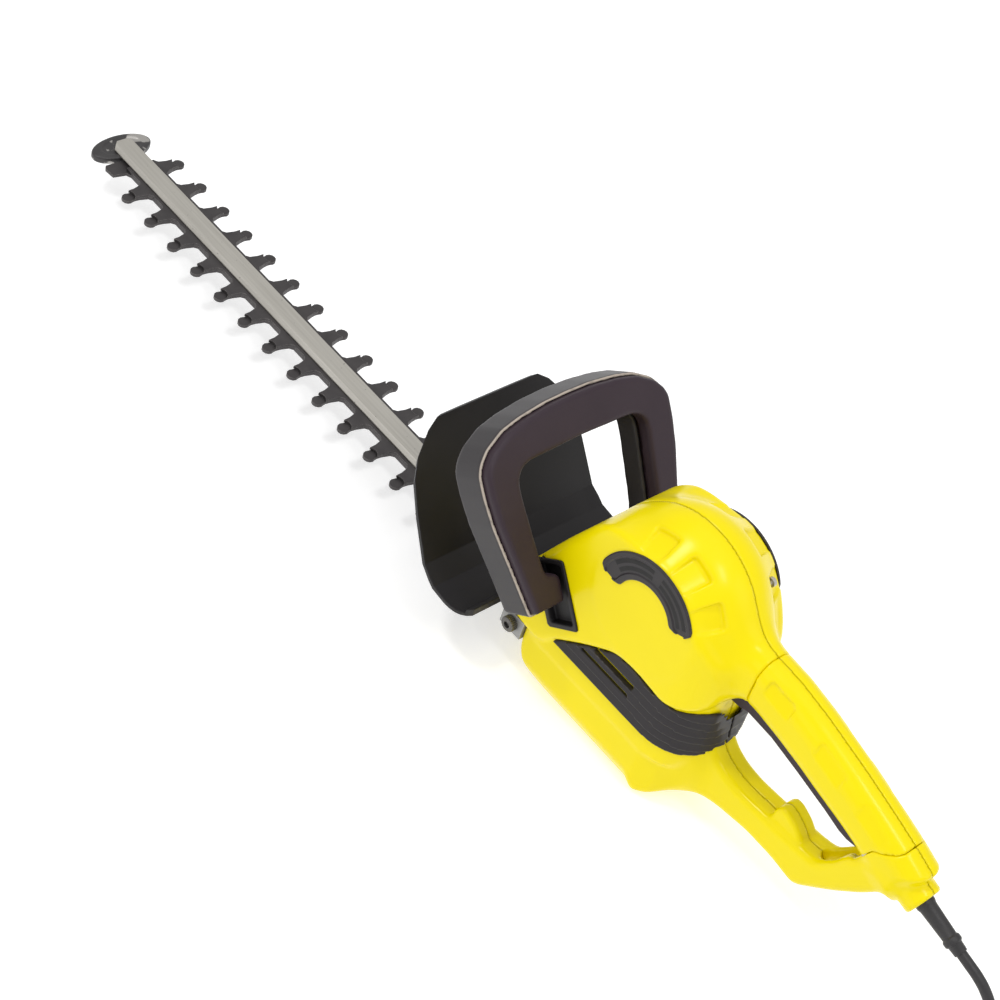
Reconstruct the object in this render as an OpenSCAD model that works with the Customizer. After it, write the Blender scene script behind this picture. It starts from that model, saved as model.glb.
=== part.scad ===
// Electric hedge trimmer with a leaning front loop handle, a hand guard and a two-sided toothed blade.
// Blade set along X with its tip at -X, cord end at +X, blade faces up.

/* [Blade set] */
// Distance between the tips of two teeth on one side
tooth_pitch = 30; // [29:0.5:31]
// Distance from the blade's centre line to the middle of a round tooth tip
tooth_reach = 29.4; // [28:0.2:31]
// Radius of a round tooth tip
tooth_tip_r = 4.6; // [4:0.1:5]
// Half width of the blade body between its teeth
blade_half = 12.4; // [12:0.1:13]
// Thickness of the fixed comb
comb_t = 2.4; // [2:0.1:2.6]
// Thickness of the moving cutter
cutter_t = 2.2; // [2:0.1:2.3]
// Half width of the guide bar at its foot
bar_half = 9.5; // [9:0.1:10]
// Distance that the cutter moves to each side of its middle
crank_throw = 10; // [9:0.5:10]

/* [Housing] */
// Wall thickness of the housing shells
wall = 3; // [2.5:0.1:3.2]
// Half width of the motor body
body_half = 40; // [40:0.5:42]
// Half width of the rear grip
grip_half = 16.5; // [16.5:0.5:19]
// Half width of the bar under the rear grip
bar_grip_half = 12.4; // [11.2:0.2:13]
// Radius of the round motor dome
dome_r = 59; // [59:0.5:61]

/* [Front handle] */
// How far the loop leans forward from upright
loop_lean = 38.3; // [36:0.1:40]
// Depth of the loop from its front to its rear rim
loop_depth = 25; // [24:0.5:26]
// Travel of the switch bar in the loop
switch_bar_travel = 3; // [2:0.1:3]

/* [Trigger and cord] */
// Half width of the trigger
trigger_half = 8; // [7:0.5:8]
// Cord diameter
cord_d = 7; // [6.5:0.5:7]
// Length of the tapered strain relief outside the housing
relief_len = 40; // [40:1:44]

/* [Hidden] */

// The frame origin is under the middle of the trimmer, on the surface that it stands on.
origin_x = 380;
stand_z = 38;
$fn = 48;

yellow = [0.96, 0.88, 0.04];
near_black = [0.16, 0.15, 0.16];
warm_black = [0.24, 0.19, 0.22];
dark_grey = [0.30, 0.30, 0.31];
steel = [0.72, 0.72, 0.70];

// Blade stack, upwards from the underside of the comb
cutter_z = 0.2;
bar_z = 2.7;
bar_top = 6.5;
near_last = 13;
far_last = 14;
far_first = -17.4;
comb_front = -38;
cutter_front = -27;
screw_xs = [14, 134, 254, 374];

// Drive: the motor stands upright and turns a gear with a crank pin
motor_x = 540;
gear_x = 509;
gear_teeth = 50;
pinion_teeth = 12;
rod_len = 38;
rod_angle = asin(crank_throw / rod_len);
pivot_x = gear_x - rod_len * cos(rod_angle);
case_z = -9;
case_top = 19;
cover_top = 22;

dome_x = 555;
dome_z = 105;
pin_x = 746;
pin_z = 66;

loop_foot = [494.5, 0, 60];
relief_tilt = 14;
relief_start = [784, 0, 60];
relief_dir = [cos(relief_tilt), 0, -sin(relief_tilt)];
cord_exit = relief_start + relief_len * relief_dir;
floor_z = -stand_z;

// Side outlines as [x, z]
body_side = [[455, 8], [455, 40], [460, 54], [482, 99], [498, 129], [510, 140], [526, 145],
  [554, 144], [600, 120], [617, 104], [622, 84], [617, 66], [607, 59], [594, 55.4], [575, 57.8],
  [560, 58.8], [548, 55.5], [526, 40.4], [503, 21], [492, 8]];
core_side = [[484, 4], [484, 40], [520, 56], [585, 60], [618, 70], [622, 22], [612, 4]];
frame_side = [[478, 12], [478, -14], [484, -27], [496, -36], [508, -38], [585, -38],
  [600, -32], [614, -20], [624, -6], [622, 10], [610, 19], [501, 19], [494, 12]];
grip_side = [[594, 128], [618, 123], [650, 120.5], [680, 114.5], [748, 95], [770, 87.5], [783, 81],
  [785, 76], [776, 48], [770, 46], [746, 55.5], [712, 65.5], [674, 74], [638, 81.4], [594, 81]];
lower_side = [[600, -24], [616, -24], [627, -17], [645, -10.5], [671, -6], [694, -6],
  [714, -9], [720, -5], [739, 15.5], [756, 35.5], [766, 50], [774, 61], [764, 66], [746, 60],
  [736, 50], [731, 37], [721, 24], [710, 22], [680, 19], [656, 17], [642, 17.6], [630, 18.6],
  [600, 18.6]];
step_side = [[679, 2], [680, 26], [683, 33], [689, 33.5], [699, 29], [706, 23], [709, 7]];
trigger_side = [[616, 77], [619, 71], [626, 71.5], [633, 74], [655, 73], [680, 68], [708, 61.5],
  [722, 57.5], [729, 56.8], [735, 57.8], [742, 60], [750, 63], [751, 68], [747, 71], [738, 74],
  [710, 80], [678, 89], [650, 93], [630, 92], [620, 84]];
slot_side = [[612, 50], [612, 102], [650, 104], [680, 98], [712, 88], [742, 79], [753, 74],
  [753, 60], [740, 50]];
cover_side = [[632, 98], [632, 130], [763, 110], [761, 76], [724, 82], [682, 91]];
belly_side = [[502.6, 19], [503.6, 20.4], [526, 39.9], [548, 55], [560, 58.3], [575, 57.3], [594, 54.9],
  [607, 58.5], [616, 60], [627, 22], [612, 19.5]];

// Plan outlines as [x, y], for one half (negative y)
function arc(cx, cy, r, a0, a1, n) = [for (i = [0 : n]) let (a = a0 + (a1 - a0) * i / n)
  [cx + r * cos(a), cy + r * sin(a)]];
function body_plan(g) = concat([[450, 0.0], [450, g - 36], [474, g - body_half]],
  arc(588, 0, body_half - g, -90, 0, 8));
function frame_plan(g) = [[470, 0], [470, g - 36], [578, g - 36], [600, g - 30],
  [618, g - 19], [640, g - bar_grip_half], [640, 0]];

// A closed outline moved inwards by d, for outlines drawn clockwise
function unit(v) = v / norm(v);
function moved(p, d) = [for (i = [0 : len(p) - 1])
  let (a = unit(p[i] - p[(i + len(p) - 1) % len(p)]), b = unit(p[(i + 1) % len(p)] - p[i]),
    na = [a[1], -a[0]], nb = [b[1], -b[0]])
  p[i] + d * (na + nb) / (1 + na * nb)];
function clockwise(p) = [for (s = [for (i = [0 : len(p) - 1])
  let (q = p[(i + 1) % len(p)]) p[i][0] * q[1] - q[0] * p[i][1]]) s];
function total(v, i = 0) = i < len(v) ? v[i] + total(v, i + 1) : 0;
function inset(p, d) = total(clockwise(p)) < 0 ? moved(p, d) : moved(p, -d);

module placed() { translate([-origin_x, 0, stand_z]) children(); }
module upright(points, y0, y1) {
  translate([0, y1, 0]) rotate([90, 0, 0]) linear_extrude(y1 - y0) polygon(points);
}
module flat(points, z0, z1) { translate([0, 0, z0]) linear_extrude(z1 - z0) polygon(points); }
module across(points, x0, x1) {
  translate([x0, 0, 0]) rotate([90, 0, 90]) linear_extrude(x1 - x0) polygon(points);
}
module rod_y(x, z, r, y0, y1) {
  translate([x, y1, z]) rotate([90, 0, 0]) cylinder(r = r, h = y1 - y0);
}
module rod_z(x, y, r, z0, z1) { translate([x, y, z0]) cylinder(r = r, h = z1 - z0); }
module block(low, high) { translate(low) cube(high - low); }
module in_loop() { translate(loop_foot) rotate([0, -loop_lean, 0]) children(); }
module two_sides() { children(); mirror([0, 1, 0]) children(); }

// Housing, drawn as its left half (negative y)
module dome(g) {
  intersection() {
    translate([dome_x, 0, dome_z]) rotate([90, 0, 0])
      rotate_extrude($fn = 96) polygon([[0, 0], [dome_r - g, 0], [dome_r - g, 7],
        [dome_r - 2.5 - g, 15], [dome_r - 6.5 - g, 22], [dome_r - 15.5 - g, 35.5],
        [dome_r - 17.5 - g, body_half - g], [0, body_half - g]]);
    block([480, -60, 54 - g], [640, 0, 180]);
  }
}
// Sloping facet that narrows the nose towards its top
nose_point = [486, -body_half, 99];
nose_normal = [-0.603, -0.747, 0.278];
module nose_cut(g) {
  translate(nose_point - g * nose_normal)
    rotate([0, acos(nose_normal[2]), atan2(nose_normal[1], nose_normal[0])])
      translate([-60, -60, 0]) cube([120, 120, 60]);
}
// Rear grip: a flat-sided tube with bevelled edges
grip_bevel = 5;
top_edges = [1, 2, 3, 4, 5];
low_edges = [9, 10, 11, 12];
module edge_cut(p, q, y) {
  translate([p[0], y, p[1]]) rotate([0, -atan2(q[1] - p[1], q[0] - p[0]), 0]) rotate([45, 0, 0])
    translate([-1.5, -10, -grip_bevel]) cube([norm(q - p) + 3, 20, 20]);
}
module grip_form(g) {
  side = inset(grip_side, g);
  difference() {
    upright(side, g - grip_half, 0);
    for (i = concat(top_edges, low_edges)) edge_cut(side[i], side[i + 1], g - grip_half);
  }
}
module half_form(g) {
  difference() {
    intersection() {
      upright(inset(body_side, g), -60, 0);
      flat(body_plan(g), -50, 200);
    }
    nose_cut(g);
  }
  dome(g);
  intersection() {
    upright(inset(core_side, g), -60, 0);
    flat(body_plan(g + 5.5), -50, 200);
  }
  intersection() {
    upright(inset(frame_side, g), -60, 0);
    flat(frame_plan(g), -60, 60);
  }
  grip_form(g);
  upright(inset(lower_side, g), g - bar_grip_half, 0);
  upright(inset(step_side, g), g - step_half, 0);
}
step_half = 8.5;
// Where the screws sit, and how far out the housing reaches there
screw_places = [[486, 29, 38], [592, 136, 30], [626, 108, 15.5], [770, 76, 15.5], [658, 4, 12],
  [744, 32, 12], [515, -27, 34], [572, -27, 34]];
boss_r = 4;
module half_inside() {
  difference() {
    half_form(wall);
    for (p = screw_places) rod_y(p[0], p[1], boss_r, -p[2], 1);
    block([500, -60, 60], [580, 1, 63]);
    block([500, -60, 85], [580, 1, 88]);
    block([524, -60, 140], [556, 1, 153]);
    rod_y(pin_x, pin_z, 5.5, -60, -trigger_half - 0.6);
  }
}
module half_cuts() {
  block([440, -31.3, case_z - 0.5], [553.5, 1, cover_top + 0.3]);
  rod_z(motor_x, 0, 30.7, 46, 106);
  rod_z(motor_x, 0, 11.0, 22, 31);
  rod_z(motor_x, 0, 9.5, 143, 150);
  rod_z(motor_x, 0, 5, 130, 160);
  rod_z(motor_x, 0, 30, 31, 46);
  upright(slot_side, -trigger_half - 0.6, 1);
  rod_y(pin_x, pin_z, 2.5, -14, 1);
  difference() {
    upright(cover_side, -60, 1);
    grip_form(wall + 0.4);
  }
  translate(relief_start - 20 * relief_dir) rotate([0, 90 + relief_tilt, 0]) cylinder(r = 6.6, h = 40);
  in_loop() block([-16.2, -60, -23.2], [8.7, -30, 22.2]);
  translate([440, -20, 30]) rotate([0, 90, 0]) cylinder(r = 1.9, h = 30);
  arc_band(25.5, 39.5, 12, 168, -60, -30);
  block([728, -6, 37], [742, 1, 60]);
}
module arc_band(r0, r1, a0, a1, y0, y1) {
  translate([dome_x, y1, dome_z]) rotate([90, 0, 0]) rotate([0, 0, a0])
    rotate_extrude(angle = a1 - a0, $fn = 96) translate([r0, 0]) square([r1 - r0, y1 - y0]);
}
module collar() {
  intersection() {
    translate(relief_start - 13 * relief_dir) rotate([0, 90 + relief_tilt, 0]) cylinder(r = 12.5, h = 16.5);
    block([760, -20, 40], [800, 0, 80]);
  }
}
module housing_half() {
  difference() {
    union() {
      half_form(0);
      collar();
    }
    half_inside();
    half_cuts();
  }
}
module housing_left() color(yellow) placed() difference() {
  housing_half();
  for (p = screw_places) rod_y(p[0], p[1], 1.7, -12, 1);
}
module housing_right() color(yellow) placed() mirror([0, 1, 0]) difference() {
  housing_half();
  for (p = screw_places) {
    rod_y(p[0], p[1], 2.1, -60, 1);
    rod_y(p[0], p[1], 3.7, -60, 5 - p[2]);
  }
}
module housing_screws() color(steel) placed() for (p = screw_places) {
  rod_y(p[0], p[1], 1.7, -11, p[2] - 5);
  rod_y(p[0], p[1], 3.3, p[2] - 5, p[2] - 2.5);
}

// Ribbed black vent band round the lower body
rib_zs = [22.5, 28, 38];
module belly_half() {
  difference() {
    union() {
      intersection() {
        upright(belly_side, -60, 0);
        flat(body_plan(1.5), 0, 90);
      }
      for (z = rib_zs) intersection() {
        upright(belly_side, -60, 0);
        flat(body_plan(0.4), z, z + 3);
      }
    }
    flat(body_plan(5.4), -5, 95);
    block([400, -60, 0], [493, 1, 90]);
    block([523, -60, 32.8], [569, -30, 36.2]);
    block([533, -60, 42.6], [570, -30, 46]);
  }
}
module belly_trim_left() color(near_black) placed() belly_half();
module belly_trim_right() color(near_black) placed() mirror([0, 1, 0]) belly_half();

// Arc-shaped air inlet with four slots
module vent_plate() {
  difference() {
    union() {
      arc_band(23, 42.4, 22, 172, -41.2, -40);
      arc_band(25.8, 39.2, 24, 166, -40, -37.4);
    }
    for (a = [32, 100]) {
      arc_band(28.2, 31, a, a + 52, -60, -30);
      arc_band(34.4, 37.2, a, a + 52, -60, -30);
    }
  }
}
module vent_left() color(near_black) placed() vent_plate();
module vent_right() color(near_black) placed() mirror([0, 1, 0]) vent_plate();

// Cover strips over the top of the rear grip, with three flat finger pads
module grip_cover_half() {
  difference() {
    intersection() {
      upright(inset(cover_side, 0.2), -60, 0);
      grip_form(0);
    }
    grip_form(wall);
    for (x = [640, 686, 730]) block([x, -60, 104 - (x - 640) * 0.28], [x + 22, 0.7 - grip_half, 140]);
  }
}
module grip_cover_left() color(yellow) placed() grip_cover_half();
module grip_cover_right() color(yellow) placed() mirror([0, 1, 0]) grip_cover_half();

// Front loop, drawn in its own leaning frame as [y, up the loop]
loop_right = [[68, -6], [75, 30], [81, 60], [83, 80], [83, 95], [80, 102], [73, 108],
  [58, 116], [42, 119.5], [20, 122.5], [0, 123.5]];
gap_right = [[41, -10], [41, 16], [51.5, 18], [53.5, 30], [57, 75], [56, 83], [51, 88.5],
  [44, 90.5], [20, 91.5], [0, 92]];
function flipped(p) = [for (i = [len(p) - 1 : -1 : 0]) [-p[i][0], p[i][1]]];
function both(p) = concat(p, [for (q = flipped(p)) if (q[0] < 0) q]);
loop_out = both(loop_right);
loop_gap = both(gap_right);
bail_wall = 3;
bar_gap = 0.35;
module front_bail() color(dark_grey) placed() in_loop() {
  difference() {
    across(loop_out, -loop_depth, 0);
    across(loop_gap, -loop_depth - 1, 1);
    difference() {
      across(inset(loop_out, bail_wall), bail_wall - loop_depth, 1);
      across(inset(loop_gap, -bail_wall), -loop_depth, -8);
    }
  }
  two_sides() block([-13.5, 34, -3], [-8, 42, 12]);
}
module handle_switch_bar() color(warm_black) placed() in_loop() {
  difference() {
    across(inset(loop_out, bail_wall + bar_gap), -loop_depth + bail_wall + switch_bar_travel + 0.4, 6);
    across(inset(loop_gap, -bail_wall - bar_gap), -loop_depth, switch_bar_travel - 7.6);
    across(loop_gap, -10, 8);
  }
  two_sides() block([-4, 34.5, -2], [5, 41.5, 8]);
}
module socket_half() {
  in_loop() difference() {
    union() {
      block([-19, -40.9, -26], [11, -40, 25]);
      block([-16, -40, -23], [8.5, -34, 22]);
    }
    block([-14.4, -60, -21.4], [7, -30, 20.4]);
  }
}
module handle_socket_left() color(near_black) placed() socket_half();
module handle_socket_right() color(near_black) placed() mirror([0, 1, 0]) socket_half();

// Hand guard: a leaning plate that turns back to the nose at its foot
guard_t = 3;
guard_side = [[357.1, 99], [359.5, 100.8], [412.4, 25.2], [426, 17], [452, 14], [452, 40],
  [454.8, 40], [454.8, 11], [425, 14], [410, 23.2]];
guard_right = concat([[342, 0], [357, 20]], [[357.5, 40], [363, 54], [371, 66], [379, 72],
  [392, 75], [420, 78], [438, 78]], arc(440, 62, 15.5, 80, 0, 5), [[455.5, 0]]);
module hand_guard() color(near_black) placed() difference() {
  intersection() {
    upright(guard_side, -90, 90);
    flat(both_y(guard_right), 0, 120);
  }
  block([449, 28, 17.5], [460, 90, 60]);
  block([449, -90, 17.5], [460, -28, 60]);
  for (y = [-20, 20]) translate([440, y, 30]) rotate([0, 90, 0]) cylinder(r = 2.1, h = 30);
}
function both_y(p) = concat(p, [for (i = [len(p) - 2 : -1 : 1]) [p[i][0], -p[i][1]]]);
module guard_screws() color(steel) placed() for (y = [-20, 20]) {
  translate([448.8, y, 30]) rotate([0, 90, 0]) cylinder(r = 4, h = 3.2);
  translate([452, y, 30]) rotate([0, 90, 0]) cylinder(r = 1.9, h = 6);
}

// Gearcase: an open tray with a lid, both cast
module gearcase_base() color(steel) placed() difference() {
  union() {
    block([455, -31, case_z], [553, 31, case_top]);
    block([452, -31, case_z], [456, 31, 7.5]);
    block([456, -37, case_z], [476, 37, 7]);
    block([452, -26, case_z], [470, 26, -comb_t]);
  }
  block([466.5, -28, case_z + 3], [550, 28, case_top + 1]);
  block([455, -26, -comb_t], [467, 26, case_top + 1]);
  block([450, -13, -comb_t], [467, 13, 7.5]);
  rod_y(466, -1, 2.5, -40, -28);
  rod_y(466, -1, 2.5, 28, 40);
  for (y = [-19, 19]) rod_z(461, y, 2.5, -20, 0);
}
module gearcase_cover() color(steel) placed() difference() {
  block([455, -31, case_top], [553, 31, cover_top]);
  rod_z(motor_x, 0, 4.2, case_z, cover_top + 1);
  rod_z(gear_x, 0, 4, case_z, cover_top + 1);
}
module side_bolts() color(steel) placed() two_sides() {
  rod_y(466, -1, 5.5, -42, -37);
  rod_y(466, -1, 2.5, -37, -29);
}
module comb_bolts() color(steel) placed() for (y = [-19, 19]) {
  rod_z(461, y, 2.4, case_z - 1, 0);
  rod_z(461, y, 4.4, 0, 3);
}

// Blade outlines: a row of teeth to each side, half a pitch apart
function tooth(cx, s) = concat([[cx - 8.6, s * blade_half], [cx - 6, s * (blade_half + 2.2)],
  [cx - 4.2, s * 21], [cx - 3.7, s * 25]],
  [for (k = [0 : 8]) let (a = 150 + 30 * k) [cx + tooth_tip_r * cos(a), s * (tooth_reach - tooth_tip_r * sin(a))]],
  [[cx + 3.7, s * 25], [cx + 4.2, s * 21], [cx + 6, s * (blade_half + 2.2)], [cx + 8.6, s * blade_half]]);
function cutter_tooth(cx, s) = [[cx - 8.8, s * blade_half], [cx - 6.2, s * (blade_half + 2.2)],
  [cx - 4.6, s * 21], [cx - 4.4, s * 26], [cx - 2.4, s * 24.6], [cx, s * 24.1], [cx + 2.4, s * 24.6],
  [cx + 4.4, s * 26], [cx + 4.6, s * 21], [cx + 6.2, s * (blade_half + 2.2)], [cx + 8.8, s * blade_half]];
function backwards(p) = [for (i = [len(p) - 1 : -1 : 0]) p[i]];
comb_outline = concat([[comb_front, -blade_half], [comb_front, -24], [comb_front + 3, -26], [-26, -25],
  [-24, -blade_half - 2], [-20, -blade_half]],
  [for (i = [0 : near_last]) each tooth(tooth_pitch * i, -1)],
  [[455.5, -blade_half], [455.5, -25], [466, -25], [466, -blade_half], [486, -blade_half],
   [486, blade_half], [466, blade_half], [466, 25], [455.5, 25], [455.5, blade_half]],
  [for (i = [far_last : -1 : 0]) each backwards(tooth(tooth_pitch * i + far_first, 1))],
  [[comb_front, blade_half]]);
cutter_outline = concat([[cutter_front, -blade_half]],
  [for (i = [0 : near_last]) each cutter_tooth(tooth_pitch * i, -1)],
  [[484, -blade_half], [484, blade_half]],
  [for (i = [far_last : -1 : 0]) each backwards(cutter_tooth(tooth_pitch * i + far_first, 1))],
  [[cutter_front, blade_half]]);
module fixed_comb() color(near_black) placed() difference() {
  flat(comb_outline, -comb_t, 0);
  for (x = screw_xs) rod_z(x, 0, 2.5, -5, 5);
  for (y = [-19, 19]) rod_z(461, y, 2.5, -5, 5);
}
module cutter_blade() color(near_black) placed() difference() {
  flat(cutter_outline, cutter_z, cutter_z + cutter_t);
  for (x = screw_xs) {
    for (d = [-1, 1]) rod_z(x + d * (crank_throw + 0.6), 0, 3, -1, 5);
    block([x - crank_throw - 0.6, -3, -1], [x + crank_throw + 0.6, 3, 5]);
  }
  rod_z(pivot_x, 0, 2.5, -1, 5);
}
module guide_bar() color(steel) placed() difference() {
  across([[-bar_half, bar_z], [bar_half, bar_z], [bar_half, bar_z + 1], [bar_half - 2.2, bar_top],
    [2.2 - bar_half, bar_top], [-bar_half, bar_z + 1]], -53, 454);
  for (s = [-1, 1]) translate([-53, s * bar_half, 0]) rotate([0, 0, 45])
    cube([7, 7, 30], center = true);
  for (x = screw_xs) rod_z(x, 0, 2.5, 0, 5.6);
  rod_z(-44, 0, 2.5, 0, 5.6);
}
module bar_screws() color(steel) placed() {
  for (x = screw_xs) {
    rod_z(x, 0, 4.5, -comb_t - 2.6, -comb_t);
    rod_z(x, 0, 2.4, -comb_t, 5.4);
  }
  rod_z(-44, 0, 4.5, -6.6, -4);
  rod_z(-44, 0, 2.4, -4, 5.4);
}
module tip_cap() color(near_black) placed() difference() {
  flat([for (i = [0 : 35]) let (a = 10 * i) [-51.2 + 12.6 * cos(a), -1 + 26 * sin(a)]], -4, bar_z - 0.1);
  rod_z(-44, 0, 2.5, -10, 10);
}

// Drive from the gear to the cutter
function inv(a) = tan(a) * 180 / PI - a;
function half_tooth(n, r, slack) = let (p = n / 2, b = p * cos(20))
  90 / n - slack * 90 / (PI * p) + inv(20) - (r > b ? inv(acos(b / r)) : 0);
function gear_outline(n, slack) = let (p = n / 2, rs = [p - 1.3, p - 0.75, p, p + 0.45, p + 0.85])
  [for (i = [0 : n - 1]) each concat(
    [for (r = rs) let (a = 360 * i / n - half_tooth(n, r, slack)) [r * cos(a), r * sin(a)]],
    [for (k = [4 : -1 : 0]) let (r = rs[k], a = 360 * i / n + half_tooth(n, r, slack)) [r * cos(a), r * sin(a)]])];
module cutter_pivot_pin() color(steel) placed() {
  rod_z(pivot_x, 0, 2.5, cutter_z, 5.6);
  rod_z(pivot_x, 0, 3.8, 5.6, 6.4);
}
module connecting_rod() color(steel) placed() translate([pivot_x, 0, 2.8]) rotate([0, 0, rod_angle])
  difference() {
    union() {
      cylinder(r = 6, h = 2.4);
      translate([rod_len, 0, 0]) cylinder(r = 7, h = 2.4);
      translate([0, -4.5, 0]) cube([rod_len, 9, 2.4]);
    }
    translate([0, 0, -1]) cylinder(r = 2.55, h = 5);
    translate([rod_len, 0, -1]) cylinder(r = 3.3, h = 5);
  }
module drive_gear() color(steel) placed() translate([gear_x, 0, 0]) difference() {
  union() {
    flat(gear_outline(gear_teeth, 0.16), 10, 17);
    rod_z(0, 0, 16, 7.6, 10);
    rod_z(0, crank_throw, 3, 5.6, 8);
  }
  rod_z(0, 0, 4.05, 0, 30);
}
module gear_shaft() color(steel) placed() {
  rod_z(gear_x, 0, 4, 6, cover_top);
  rod_z(gear_x, 0, 6, 5.7, 7.2);
}
module pinion() color(steel) placed() translate([motor_x, 0, 0]) difference() {
  rotate([0, 0, 15]) flat(gear_outline(pinion_teeth, 0.16), 9, 18);
  rod_z(0, 0, 3.5, 0, 30);
}

// Motor, upright on motor_x
module armature_shaft() color(steel) placed() rod_z(motor_x, 0, 3.5, 8, 150);
module ring(r1, r0, z0, z1) {
  difference() {
    rod_z(motor_x, 0, r1, z0, z1);
    rod_z(motor_x, 0, r0, z0 - 1, z1 + 1);
  }
}
module armature_core() color(dark_grey) placed() difference() {
  ring(17.5, 3.5, 54, 94);
  for (a = [0 : 30 : 330]) translate([motor_x, 0, 0]) rotate([0, 0, a])
    block([11, -1.6, 50], [18.5, 1.6, 98]);
}
module armature_windings() color([0.72, 0.38, 0.16]) placed() {
  ring(15.5, 4, 94, 105);
  ring(15.5, 4, 47, 54);
}
module commutator() color([0.75, 0.45, 0.2]) placed() difference() {
  ring(10.5, 3.5, 110, 126);
  for (a = [0 : 15 : 345]) translate([motor_x, 0, 0]) rotate([0, 0, a])
    block([9.4, -0.3, 112], [12, 0.3, 130]);
}
module motor_fan() color(near_black) placed() {
  ring(27, 3.5, 32.4, 34.4);
  ring(8, 3.5, 34.4, 44);
  for (a = [0 : 36 : 324]) translate([motor_x, 0, 0]) rotate([0, 0, a]) block([8.2, -0.8, 34.4], [26.5, 0.8, 43]);
}
module stator() color([0.45, 0.46, 0.48]) placed() difference() {
  ring(30.5, 18.3, 53, 95);
  for (a = [45 : 90 : 315]) translate([motor_x, 0, 0]) rotate([0, 0, a]) block([19.5, -4.6, 40], [27.5, 4.6, 100]);
}
module coil_end(z0, z1) {
  for (a = [-51, 129]) translate([motor_x, 0, z0]) rotate([0, 0, a])
    rotate_extrude(angle = 102) translate([20, 0]) square([7, z1 - z0]);
}
module field_coils() color([0.78, 0.42, 0.18]) placed() {
  coil_end(95.2, 103);
  coil_end(46.5, 52.8);
  for (a = [45 : 90 : 315]) translate([motor_x, 0, 0]) rotate([0, 0, a]) block([20, -4.2, 52.8], [27, 4.2, 95.2]);
}
module lower_bearing() color(steel) placed() ring(10.9, 3.55, 22.2, 29.2);
module upper_bearing() color(steel) placed() ring(9.4, 3.55, 143.1, 149.9);
module brush_box() {
  difference() {
    block([motor_x - 5, 12.5, 113.5], [motor_x + 5, 30, 123.5]);
    block([motor_x - 3.7, 11, 114.8], [motor_x + 3.7, 28.8, 122.2]);
  }
}
module brush_holders() color([0.8, 0.62, 0.25]) placed() two_sides() brush_box();
module carbon_brushes() color(dark_grey) placed() two_sides()
  block([motor_x - 3.5, 10.8, 115], [motor_x + 3.5, 26, 122]);

// Trigger, its pin and spring, and the two switches
module trigger() color(warm_black) placed() difference() {
  upright(trigger_side, -trigger_half, trigger_half);
  rod_y(pin_x, pin_z, 2.55, -20, 20);
}
module trigger_pin() color(steel) placed() rod_y(pin_x, pin_z, 2.5, -14, 14);
spring_x = 690;
module trigger_spring() color(steel) placed() for (k = [0 : 4])
  translate([spring_x, 0, 87.6 + k * 2.4]) rotate_extrude() translate([3.4, 0]) circle(r = 0.5);
module rear_switch() color(near_black) placed() difference() {
  block([640, -7.5, 104], [666, 7.5, 113]);
  rod_z(656, 0, 2.6, 100, 112);
}
module rear_plunger() color("white") placed() rod_z(656, 0, 2.5, 93.4, 106);
module front_switch() color(near_black) placed() in_loop() difference() {
  block([-28, -34, -6], [-15, -16, 6]);
  translate([-20, -30, 2]) rotate([0, 90, 0]) cylinder(r = 1.6, h = 10);
}
module front_plunger() color("white") placed() in_loop()
  translate([-16.4, -30, 2]) rotate([0, 90, 0]) cylinder(r = 1.5, h = 12);
module capacitor() color([0.2, 0.3, 0.6]) placed() block([694, -5, 90.5], [710, 5, 100]);

// A tube along a route, as one closed polyhedron
function ahead(p, i) = unit(p[min(i + 1, len(p) - 1)] - p[max(i - 1, 0)]);
function ring_at(p, i, r, n) = let (t = ahead(p, i), s = unit(cross(t, [0.02, 0.01, 1])), u = cross(s, t))
  [for (k = [0 : n - 1]) p[i] + r * cos(360 * k / n) * s + r * sin(360 * k / n) * u];
module tube(p, r, n) {
  m = len(p);
  polyhedron(points = [for (i = [0 : m - 1]) each ring_at(p, i, r, n)],
    faces = concat([[for (k = [0 : n - 1]) k]],
      [for (i = [0 : m - 2], k = [0 : n - 1])
        [i * n + k, (i + 1) * n + k, (i + 1) * n + (k + 1) % n, i * n + (k + 1) % n]],
      [[for (k = [n - 1 : -1 : 0]) (m - 1) * n + k]]));
}
lead_route = [[668, 0, 108.5], [680, 3, 106], [692, 8.2, 99.5], [702, 8.2, 97], [714, 8, 95.6],
  [722, 6, 95.4], [736, 5, 91.5], [746, 3, 85], [752, 1.5, 77], [756, 0.3, 70.5], [761, 0, 66.8],
  [767, 0, 65.5], [773, 0, 64.5]];
module inner_lead() color(near_black) placed() tube(lead_route, 2.5, 8);
module cord_clamp() color(near_black) placed() difference() {
  block([762, -11, 60], [768, 11, 71.5]);
  translate([765, 0, 66]) rotate([0, 90, 0]) cylinder(r = 3.6, h = 20, center = true);
}
module strain_relief() color(near_black) placed() translate(relief_start) rotate([0, 90 + relief_tilt, 0])
  rotate_extrude() polygon([[0, -8], [6.4, -8], [6.4, 6], [5.6, 8], [4.9, relief_len - 11],
    [7.2, relief_len - 10], [7.2, relief_len - 7], [4.6, relief_len - 6], [4.4, relief_len],
    [0, relief_len]]);

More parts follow.
